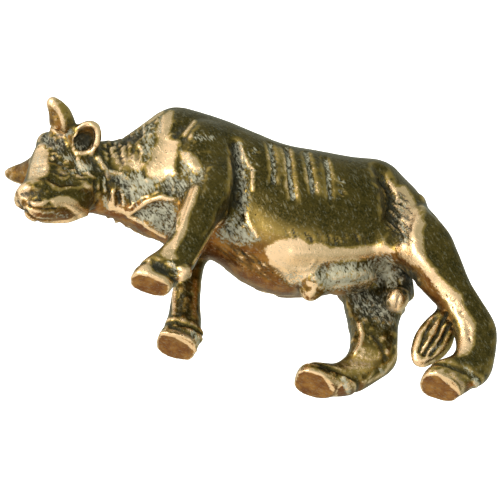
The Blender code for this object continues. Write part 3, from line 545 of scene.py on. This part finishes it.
# Pale lines: worn brass and painted highlight. Dark lines: grime and painted shade in the hollows.
lines(NEAR, [
    (((-8.8, 6.3), (-7.9, 5.9), (-7.4, 5.0)), 0.5, {"ash": 0.7}),
    (((-4.3, 13.0), (-5.0, 11.4), (-5.6, 8.8), (-6.0, 7.0)), 0.25, {"wear_and_sheen": 0.6, "depth": -0.1}),
    (((-8.4, 15.8), (-8.5, 12.0), (-8.6, 8.4)), 0.5, {"depth": -0.15}),
    (((-7.8, 4.6), (-7.3, 4.3)), 0.35, {"grime_and_shade": 1.0, "depth": 0.15}),
    (((-7.2, 3.4), (-6.8, 2.0), (-6.4, 0.6)), 0.35, {"wear_and_sheen": 0.9, "depth": -0.1}),
    (((-5.1, 5.0), (-4.5, 3.0), (-4.1, 1.2)), 0.5, {"wear_and_sheen": 0.45}),
    (((-6.1, 3.4), (-5.6, 0.4)), 0.7, {"grime_and_shade": 0.6}),
    (((-6.4, -0.9), (-3.2, -1.3)), 0.5, {"grime_and_shade": 0.8, "depth": 0.1}),
    (((-7.0, -2.1), (-5.4, -1.9), (-3.6, -2.3), (-2.6, -2.8)), 0.38, {"wear_and_sheen": 1.0, "depth": -0.15}),
    (((-3.4, -0.8), (-2.5, -1.8)), 0.5, {"ash": 1.0}),
    (((15.2, 6.3), (15.9, 5.2), (16.1, 3.8), (15.8, 2.9)), 0.45, {"wear_and_sheen": 1.0, "depth": -0.18}),
    (((16.6, 1.7), (17.2, 1.5)), 0.6, {"wear_and_sheen": 0.5}),
    (((14.8, 1.6), (18.4, 2.4)), 0.9, {"grime_and_shade": 0.5, "depth": 0.08}),
    (((19.3, 1.8), (19.6, 1.6)), 0.4, {"ash": 0.9}),
    (((17.2, 8.2), (18.2, 8.2)), 0.4, {"ash": 0.9}),
    (((15.4, -0.6), (16.4, -1.8)), 0.55, {"ash": 1.0, "depth": -0.1}),
    (((10.5, -0.8), (13.0, -0.9), (14.6, -2.2)), 0.4, {"wear_and_sheen": 1.0}),
    (((25.6, 3.6), (27.2, 3.0), (29.2, 2.1)), 0.38, {"wear_and_sheen": 1.0, "depth": -0.18}),
    (((25.2, 3.3), (26.2, 4.1)), 0.4, {"wear_and_sheen": 0.9}),
    (((27.0, 3.9), (29.0, 2.9)), 0.35, {"depth": 0.12, "grime_and_shade": 0.5}),
    (((30.3, 4.3), (31.0, 3.6), (30.4, 2.9)), 0.6, {"ash": 1.0}),
    (((28.8, 5.2), (30.0, 4.6)), 0.5, {"ash": 0.6}),
    (((29.2, 9.4), (29.4, 7.8)), 0.8, {"grime_and_shade": 0.45}),
])
# Dark grooves of the tail: grime and painted shade; pale ridges: painted highlight with wear.
lines(body, [
    (((24.6, 10.6), (24.4, 8.0), (23.6, 5.2)), 0.4, {"depth": 0.22, "grime_and_shade": 0.9}),
    (((23.6, 9.8), (23.0, 7.8), (23.0, 5.4)), 0.35, {"depth": 0.2, "grime_and_shade": 0.7}),
    (((25.4, 9.6), (25.2, 7.6), (24.4, 5.4)), 0.4, {"depth": 0.22, "grime_and_shade": 0.9}),
    (((22.3, 7.6), (22.3, 5.6), (22.7, 4.4), (23.7, 4.4), (24.6, 5.0)), 0.35, {"wear_and_sheen": 0.9}),
    (((23.8, 7.4), (23.3, 5.4)), 0.25, {"wear_and_sheen": 0.9, "depth": -0.1}),
    (((24.2, 9.4), (23.6, 7.8)), 0.25, {"wear_and_sheen": 0.5}),
    (((25.0, 6.8), (24.3, 6.0)), 0.35, {"ash": 0.9}),
])
# Dark field: grime and painted shade between the legs; pale field: worn brass and painted reflection.
fields(NEAR, [
    (((12.3, 9.4), (14.9, 10.8), (17.2, 10.6), (19.2, 9.0), (19.6, 6.8), (17.3, 6.8), (15.0, 6.9),
      (13.5, 7.9)), 0.9, {"grime_and_shade": 0.8, "crust": 0.8}),
    (((13.6, 8.0), (19.8, 8.0), (20.8, 3.8), (18.4, -0.4), (14.6, -1.6), (10.4, -0.4), (14.4, 2.2)), 1.0,
     {"crust": 0.55}),
    (((15.9, 4.3), (18.5, 3.4), (18.4, 1.3), (15.3, 0.1), (14.0, 0.7), (15.4, 2.1)), 0.8, {"wear_and_sheen": 0.48}),
    (((-8.2, 4.6), (-4.6, 4.4), (-2.4, -2.6), (-7.2, -2.0)), 0.8, {"crust": 0.6, "grime_and_shade": 0.3}),
])
hatch(NEAR, ((14.6, 10.0), (16.6, 8.4), (18.4, 7.4)), 12, 1.3, -60, 0.24, {"depth": 0.08, "ash": 0.6}, 23)
# Pale line: painted highlight with wear; dark line: grime and painted shade.
lines(NEAR, [
    (((20.2, 6.8), (20.6, 4.2), (19.8, 1.6), (18.4, 0.0)), 0.4, {"wear_and_sheen": 0.6}),
    (((16.9, 5.6), (18.4, 4.6), (19.4, 3.2)), 0.5, {"grime_and_shade": 0.7, "depth": 0.08}),
])
# Dark strokes: grime and painted shade in the cuts.
hatch(NEAR, ((27.4, 10.4), (28.2, 8.2)), 6, 0.7, -60, 0.2, {"depth": 0.12, "grime_and_shade": 0.9}, 16)
hatch(NEAR, ((24.0, 12.8), (26.4, 11.0)), 6, 0.6, -50, 0.2, {"depth": 0.12, "grime_and_shade": 0.8}, 17)
hatch(NEAR, ((-6.9, 3.0), (-6.3, 0.4)), 6, 0.5, -60, 0.18, {"depth": 0.1, "grime_and_shade": 0.8}, 18)

# %% [markdown]
# ## All round each foot, and the crust
# Each hoof has a hollow under its crown, darkened with grime and painted shade, and a pale rim at the
# sole, worn brass and painted highlight. Then every point moves along its own normal: in under the cuts,
# out under the ridges. Crusted places also crumple: random heights are averaged over the neighbours again
# and again, until they are lumps. Nothing leaves the solid's box.

# %% Crowns
CROWN_HEIGHT, CROWN_WIDTH = 1.9, 0.45
RIM_HEIGHT = 0.5
crown = np.clip(np.abs(points[:, 2] - CROWN_HEIGHT) / CROWN_WIDTH, 0, 1)
# grime and painted shade in the hollow under each crown
lay((1 + np.cos(np.pi * crown)) / 2, {"depth": 0.1, "grime_and_shade": 0.45})
# worn brass and painted highlight on the rim at the sole
rim = np.clip(1 - np.abs(points[:, 2] - RIM_HEIGHT) / RIM_HEIGHT, 0, 1)
lay(rim * (np.abs(normals[:, 2]) < 0.9), {"wear_and_sheen": 0.7})
print("feet drawn, points near the crowns:", int((crown < 1).sum()))

# %% Neighbours
def averaging(skin):
    """A function that replaces each point's value by the average over its neighbours."""
    count, joined = len(skin.vertices), np.empty(2 * len(skin.edges), dtype=int)
    skin.edges.foreach_get("vertices", joined)
    first, last = joined[0::2], joined[1::2]
    neighbours = np.bincount(first, minlength=count) + np.bincount(last, minlength=count)

    def average(values):
        total = np.bincount(first, values[last], count) + np.bincount(last, values[first], count)
        return total / neighbours

    return average


def lumps(average, count, passes, seed):
    """Random swellings and dents, wider with more passes, with a usual height of 1."""
    values = np.random.default_rng(seed).normal(size=count)
    for _ in range(passes):
        values = (values + average(values)) / 2
    return np.clip(values / values.std(), -2.2, 2.2)


average = averaging(skin)

# %% Move the skin
CUT_STRENGTH = 1.5  # the real depth of a mark against its drawn depth
CAST_LUMPS, CRUST_LUMPS = 0.014, 0.1  # usual height of the lumps on plain and on crusted skin, mm
GRIME_CRUST, ASH_CRUST = 0.6, 0.8  # how crusted the dark places and the ashen places are
SMOOTHED_BY_RUBBING = 0.85
crust = np.maximum(layers["crust"], np.maximum(GRIME_CRUST * layers["grime_and_shade"], ASH_CRUST * layers["ash"]))
crust *= 1 - SMOOTHED_BY_RUBBING * np.clip(layers["wear_and_sheen"], 0, 1)
fine_lumps, wide_lumps = lumps(average, len(points), 5, 21), lumps(average, len(points), 24, 22)
crumple = CRUST_LUMPS * crust * (fine_lumps + wide_lumps) * 0.6 + CAST_LUMPS * wide_lumps
moved = CUT_STRENGTH * layers["depth"] - crumple
places = (points - DRAWING_ORIGIN - normals * moved[:, None]) * MM
low, high = np.array(cad_box)
skin.vertices.foreach_set("co", np.clip(places, low, high).ravel())
skin.update()
print("deepest and highest mark, mm:", moved.max().round(2), moved.min().round(2))

# %% [markdown]
# ## Wear and painted light
# Rubbing reaches ridges and rims first and never the hollows. Both are read from the carved skin: how
# far each point stands out from the average of the points around it. The raised points are painted
# pale, wear together with painted glints; the hollows are darkened, grime together with painted shade;
# skin that looks down is painted brown, a painted reflection. This also finishes the hidden side.

# %% Ridges and hollows
SPREAD_PASSES = 5
FULL_WEAR_AND_GLINT, FULL_DIRT_AND_SHADE = 0.1, 0.1  # height above and below the surroundings, mm
UNTOUCHED = 0.02  # up to this height neither shows
BROWN_FROM, BROWN_FULL = 0.5, 0.85  # how far skin looks down before it takes the painted brown reflection


def standing_out(skin):
    """Height of each point above its surroundings, in millimetres."""
    here, outward = read_skin(skin)
    spread = here.copy()
    for _ in range(SPREAD_PASSES):
        spread = np.stack([average(column) for column in spread.T], axis=1)
    return ((here - spread) * outward).sum(axis=1)


height = standing_out(skin)
layers["ash"] *= np.clip(1.1 + height / FULL_WEAR_AND_GLINT, 0.65, 1)  # thinner deep in the cuts
kept_clean = 1 - 0.8 * np.clip(layers["wear_and_sheen"], 0, 1)
# The raised points: wear with painted glints. The hollows: grime with painted shade.
lay(np.clip((height - UNTOUCHED) / FULL_WEAR_AND_GLINT, 0, 1), {"wear_and_sheen": 0.9})
lay(np.clip((-height - UNTOUCHED) / FULL_DIRT_AND_SHADE, 0, 1) * kept_clean, {"grime_and_shade": 0.8})
# Painted reflection: skin that looks down turns brown.
lay(np.clip((-normals[:, 2] - BROWN_FROM) / (BROWN_FULL - BROWN_FROM), 0, 1), {"brown_reflection": 1.0})
layers["brown_reflection"] *= 1 - np.clip(np.maximum(layers["grime_and_shade"], layers["ash"]), 0, 0.9)
print("height over surroundings, mm:", np.percentile(height, (2, 25, 50, 75, 98)).round(3))

# %% The piece
casting = bpy.data.objects.new("bull_casting", skin)
bpy.context.scene.collection.objects.link(casting)
skin.shade_smooth()
for name in ("wear_and_sheen", "grime_and_shade", "ash", "brown_reflection"):
    layer = skin.attributes.new(name, "FLOAT", "POINT")
    layer.data.foreach_set("value", np.clip(layers[name], 0, 1).astype(np.float32))
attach(casting, "root")
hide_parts("bull")

# %% [markdown]
# ## Brass under patina
# The casting is yellow brass. A chemical patina turned it olive brown and stayed in every hollow;
# rubbing took it off the raised places, which show pale metal. The finish is mixed by painted points
# and by fine patterns: olive patina that still shines; gold where the pale marks thin out, thin patina
# with a painted sheen; brown where the skin looks down, a painted reflection; pale brass, worn metal
# and painted reflection; dark dull grime with painted shade; gold specks as painted glints; and pale
# ash in the crusted places. All patterns read object coordinates, so they sit still on the metal.

# %% Colours
def linear(hex_colour):
    """An sRGB hex colour as linear red, green, blue and alpha."""
    shares = [int(hex_colour[i : i + 2], 16) / 255 for i in (1, 3, 5)]
    return tuple(s / 12.92 if s <= 0.04045 else ((s + 0.055) / 1.055) ** 2.4 for s in shares) + (1.0,)


RUBBED_BRASS_AND_SHEEN = linear("#f3d4aa")
OLIVE_PATINA = linear("#62562a")
DEEP_OLIVE = linear("#3d391b")
GOLD_GRAIN = linear("#7a6a3a")
GRIME_AND_SHADE = linear("#1b1f13")
ASH = linear("#c3c5b3")
REFLECTED_BROWN, LIGHT_BROWN = linear("#744a22"), linear("#9e733a")
GOLD_PATINA_AND_SHEEN = linear("#a8904f")


def add_node(tree, kind, links=None, **settings):
    """Adds a node; settings are its properties, links its inputs: a socket to link or a value to set."""
    node = tree.nodes.new(kind)
    for name, value in settings.items():
        setattr(node, name, value)
    for name, value in (links or {}).items():
        socket = node.inputs[name]
        if isinstance(value, bpy.types.NodeSocket):
            tree.links.new(value, socket)
        else:
            socket.default_value = value
    return node


def mix_colour(tree, share, first, second):
    node = add_node(tree, "ShaderNodeMix", data_type="RGBA")
    for socket, value in ((node.inputs[0], share), (node.inputs[6], first), (node.inputs[7], second)):
        if isinstance(value, bpy.types.NodeSocket):
            tree.links.new(value, socket)
        else:
            socket.default_value = value
    return node.outputs[2]


def ramp(tree, value, low, high, start=0.0, end=1.0):
    """Maps a value from one range to another, clamped."""
    return add_node(
        tree,
        "ShaderNodeMapRange",
        {"Value": value, "From Min": low, "From Max": high, "To Min": start, "To Max": end},
    ).outputs["Result"]


def maths(tree, operation, first, second):
    return add_node(tree, "ShaderNodeMath", {0: first, 1: second}, operation=operation).outputs[0]


# %% Brass
PER_MM = 1 / MM
TOOL_SLANT = math.radians(42)  # how the fine scratches lean
RUBBED_ROUGHNESS, PATINA_ROUGHNESS, CRUST_ROUGHNESS = 0.23, 0.28, 0.5
FINEST_RELIEF = 0.06 * MM


def cell_marks(tree, place, scale, core, reach, share):
    """Scattered marks: the cores of a share of random cells."""
    inputs = {"Vector": place, "Scale": scale * PER_MM, "Randomness": 1.0}
    cells = add_node(tree, "ShaderNodeTexVoronoi", inputs)
    dice = add_node(tree, "ShaderNodeSeparateColor", {0: cells.outputs["Color"]}).outputs[0]
    chosen = ramp(tree, dice, share + 0.05, share - 0.05)
    return maths(tree, "MULTIPLY", ramp(tree, cells.outputs["Distance"], reach, core), chosen)


def noise(tree, place, scale, detail, roughness=0.6):
    inputs = {"Vector": place, "Scale": scale * PER_MM, "Detail": detail, "Roughness": roughness}
    return add_node(tree, "ShaderNodeTexNoise", inputs).outputs["Fac"]


def patinated_brass():
    material = bpy.data.materials.new("cast brass, patina, wear and painted light")
    material.use_nodes = True
    tree = material.node_tree
    surface = tree.nodes["Principled BSDF"]
    place = add_node(tree, "ShaderNodeTexCoord").outputs["Object"]
    layer = {
        name: add_node(tree, "ShaderNodeAttribute", attribute_name=name).outputs["Fac"]
        for name in ("wear_and_sheen", "grime_and_shade", "ash", "brown_reflection")
    }
    clouds = noise(tree, place, 0.35, 4.0)
    blots = noise(tree, place, 2.2, 5.0, 0.7)
    grain = noise(tree, place, 4.0, 3.0, 0.7)
    turned = add_node(tree, "ShaderNodeMapping", {"Vector": place, "Rotation": (0.0, TOOL_SLANT, 0.0)})
    stretched = {"Vector": turned.outputs["Vector"], "Scale": (1.0, 1.0, 0.35)}
    slanted = add_node(tree, "ShaderNodeMapping", stretched).outputs["Vector"]
    hairs = ramp(tree, noise(tree, slanted, 3.6, 3.0, 0.7), 0.36, 0.64)
    strokes = cell_marks(tree, slanted, 1.3, 0.09, 0.19, 0.12)
    pits = cell_marks(tree, place, 1.5, 0.08, 0.16, 0.5)

    # where the pale wear with painted reflection, the dark grime with painted shade and the ash show: the
    # painted points with ragged edges
    ragged = maths(tree, "MULTIPLY", maths(tree, "SUBTRACT", blots, 0.5), 1.5)
    wear_and_sheen_mask = ramp(tree, maths(tree, "ADD", layer["wear_and_sheen"], ragged), 0.35, 0.62)
    dirt_and_shade = ramp(tree, maths(tree, "ADD", layer["grime_and_shade"], ragged), 0.3, 0.85)
    ragged_ash = maths(tree, "MULTIPLY", maths(tree, "SUBTRACT", hairs, 0.5), 1.3)
    ashen = ramp(tree, maths(tree, "ADD", layer["ash"], ragged_ash), 0.24, 0.88)
    ashen = maths(tree, "MULTIPLY", ashen, ramp(tree, layer["ash"], 0.02, 0.3, 0.35, 1.0))

    # the colours, from the patina with its painted sheen and brown reflection up to the painted glints and
    # the dark pits
    patina = mix_colour(tree, ramp(tree, clouds, 0.42, 0.68), DEEP_OLIVE, OLIVE_PATINA)
    patina = mix_colour(tree, ramp(tree, grain, 0.42, 0.8), patina, GOLD_GRAIN)
    # painted sheen with thin patina: the faint edges of the pale marks turn gold
    patina = mix_colour(tree, ramp(tree, layer["wear_and_sheen"], 0.05, 0.3), patina, GOLD_PATINA_AND_SHEEN)
    brown_clouds = ramp(tree, noise(tree, place, 0.5, 3.0), 0.42, 0.62)
    # painted reflection: brown where the skin looks down, on the horns and under the jaw
    brown_reflection = mix_colour(tree, brown_clouds, REFLECTED_BROWN, LIGHT_BROWN)
    patina = mix_colour(tree, layer["brown_reflection"], patina, brown_reflection)
    # pale brass: worn metal and painted reflection
    metal = mix_colour(tree, wear_and_sheen_mask, patina, RUBBED_BRASS_AND_SHEEN)
    # grime and painted shade
    crusted = mix_colour(tree, maths(tree, "MULTIPLY", dirt_and_shade, 0.9), metal, GRIME_AND_SHADE)
    ashy = mix_colour(tree, maths(tree, "MULTIPLY", ashen, 0.8), crusted, ASH)
    # painted glints: gold specks scattered over the patina
    glint_specks = maths(tree, "MULTIPLY", strokes, maths(tree, "SUBTRACT", 1.0, wear_and_sheen_mask))
    colour = mix_colour(tree, maths(tree, "MULTIPLY", glint_specks, 0.4), ashy, GOLD_PATINA_AND_SHEEN)
    # dark pits: grime and painted shade
    holes = maths(tree, "MULTIPLY", pits, ramp(tree, clouds, 0.4, 0.5))
    colour = mix_colour(tree, maths(tree, "MULTIPLY", holes, 0.8), colour, GRIME_AND_SHADE)
    tree.links.new(colour, surface.inputs["Base Color"])

    # crusts are dull and no metal, all the rest shines
    dull = maths(tree, "MAXIMUM", maths(tree, "MULTIPLY", dirt_and_shade, 0.7), maths(tree, "MULTIPLY", ashen, 0.8))
    dull = maths(tree, "MAXIMUM", dull, maths(tree, "MULTIPLY", glint_specks, 0.1))
    tree.links.new(ramp(tree, dull, 0.0, 1.0, 1.0, 0.1), surface.inputs["Metallic"])
    shiny = ramp(tree, wear_and_sheen_mask, 0.0, 1.0, PATINA_ROUGHNESS, RUBBED_ROUGHNESS)
    roughness = add_node(tree, "ShaderNodeMix", {0: dull, 2: shiny, 3: CRUST_ROUGHNESS}, data_type="FLOAT")
    tree.links.new(roughness.outputs[0], surface.inputs["Roughness"])

    # relief too fine for the skin's own points
    relief = maths(tree, "SUBTRACT", maths(tree, "MULTIPLY", grain, 0.35), holes)
    relief = maths(tree, "ADD", relief, maths(tree, "MULTIPLY", glint_specks, 0.35))
    relief = maths(tree, "ADD", relief, maths(tree, "MULTIPLY", maths(tree, "MULTIPLY", hairs, dull), 1.2))
    relief = maths(tree, "ADD", relief, maths(tree, "MULTIPLY", blots, 0.65))
    bump = add_node(tree, "ShaderNodeBump", {"Height": relief, "Strength": 1.0, "Distance": FINEST_RELIEF})
    tree.links.new(bump.outputs["Normal"], surface.inputs["Normal"])
    return material


brass = patinated_brass()
skin.materials.append(brass)
print("material:", brass.name, "with", len(brass.node_tree.nodes), "nodes")

# %% [markdown]
# ## Floor, backdrop and light
# The camera looks up from below the standing plane, so the floor is one-sided: it shows to anyone
# above it and vanishes for the photograph's camera. A pale dome closes the picture behind it. Both
# are seen by the camera alone. The metal reflects pale, almost even surroundings: warm white from the
# bull's front, from the camera and from below, greyer from above and behind. One soft panel in front
# of the bull adds the glints.

# %% Floor and backdrop
def plain_surface(name, colour, glow, one_sided):
    material = bpy.data.materials.new(name)
    material.use_nodes = True
    tree = material.node_tree
    tree.nodes.clear()
    out = add_node(tree, "ShaderNodeOutputMaterial")
    shine = add_node(tree, "ShaderNodeEmission", {"Color": colour, "Strength": glow}).outputs[0]
    matt = add_node(tree, "ShaderNodeBsdfDiffuse", {"Color": colour}).outputs[0]
    lit = add_node(tree, "ShaderNodeAddShader", {0: shine, 1: matt}).outputs[0]
    if one_sided:
        back = add_node(tree, "ShaderNodeNewGeometry").outputs["Backfacing"]
        clear = add_node(tree, "ShaderNodeBsdfTransparent").outputs[0]
        lit = add_node(tree, "ShaderNodeMixShader", {0: back, 1: lit, 2: clear}).outputs[0]
    tree.links.new(lit, out.inputs["Surface"])
    return material


def seen_by_camera_only(stage_object):
    stage_object.visible_glossy = False
    stage_object.visible_diffuse = False
    stage_object.visible_transmission = False
    stage_object.visible_shadow = False


def stage_piece(name, make, material):
    mesh = bmesh.new()
    make(mesh)
    data = bpy.data.meshes.new(name)
    mesh.to_mesh(data)
    mesh.free()
    data.materials.append(material)
    made = bpy.data.objects.new(name, data)
    bpy.context.scene.collection.objects.link(made)
    seen_by_camera_only(made)
    return made


floor = stage_piece(
    "floor",
    lambda mesh: bmesh.ops.create_circle(mesh, cap_ends=True, segments=96, radius=0.7),
    plain_surface("pale paper floor", linear("#ececea"), 0.35, True),
)
floor.location.z = -0.02 * MM
stage_piece(
    "backdrop",
    lambda mesh: bmesh.ops.create_uvsphere(mesh, u_segments=48, v_segments=24, radius=3.0),
    plain_surface("white backdrop", (1, 1, 1, 1), 1.2, False),
)


# %% Lights
GREY_ABOVE, WARM_WHITE, CREAM_BELOW = linear("#b0b4a4"), linear("#fffaf0"), linear("#f6ecd6")
SURROUNDINGS_STRENGTH = 1.12
PANEL_WATTS = 1.2


def panel(name, towards, distance, size, power, colour):
    """A square soft lamp that faces the figure."""
    lamp = bpy.data.lights.new(name, "AREA")
    lamp.size = size
    lamp.energy = power
    lamp.color = linear(colour)[:3]
    made = bpy.data.objects.new(name, lamp)
    direction = Vector(towards).normalized()
    made.location = LOOK_AT + direction * distance
    made.rotation_mode = "QUATERNION"
    made.rotation_quaternion = direction.to_track_quat("Z", "Y")
    made.visible_camera = False
    bpy.context.scene.collection.objects.link(made)
    return made


panel("front glow", (-1.0, -0.7, -0.25), 0.45, 0.30, PANEL_WATTS, "#fff3e0")


def towards_share(tree, way, direction, low, high):
    """How much a direction of the surroundings agrees with a given one."""
    aim = tuple(Vector(direction).normalized())
    dot = add_node(tree, "ShaderNodeVectorMath", {0: way, 1: aim}, operation="DOT_PRODUCT").outputs["Value"]
    return ramp(tree, dot, low, high)


def pale_studio():
    """The surroundings that the metal mirrors, by direction."""
    world = bpy.data.worlds.new("pale studio")
    bpy.context.scene.world = world
    world.use_nodes = True
    tree = world.node_tree
    way = add_node(tree, "ShaderNodeTexCoord").outputs["Generated"]
    camera_side = towards_share(tree, way, (-0.2, -0.8, -0.62), 0.55, 0.85)
    low_side = towards_share(tree, way, (-0.2, -0.4, -1.0), 0.75, 0.92)
    bull_front = towards_share(tree, way, (-1.0, -0.2, 0.0), 0.35, 0.8)
    bright = maths(tree, "MAXIMUM", maths(tree, "MAXIMUM", camera_side, low_side), bull_front)
    below = towards_share(tree, way, (0.0, 0.7, -1.0), 0.6, 0.9)
    around = mix_colour(tree, bright, GREY_ABOVE, WARM_WHITE)
    colour = mix_colour(tree, below, around, CREAM_BELOW)
    ground = tree.nodes["Background"]
    tree.links.new(colour, ground.inputs["Color"])
    ground.inputs["Strength"].default_value = SURROUNDINGS_STRENGTH
    return world


pale_studio()
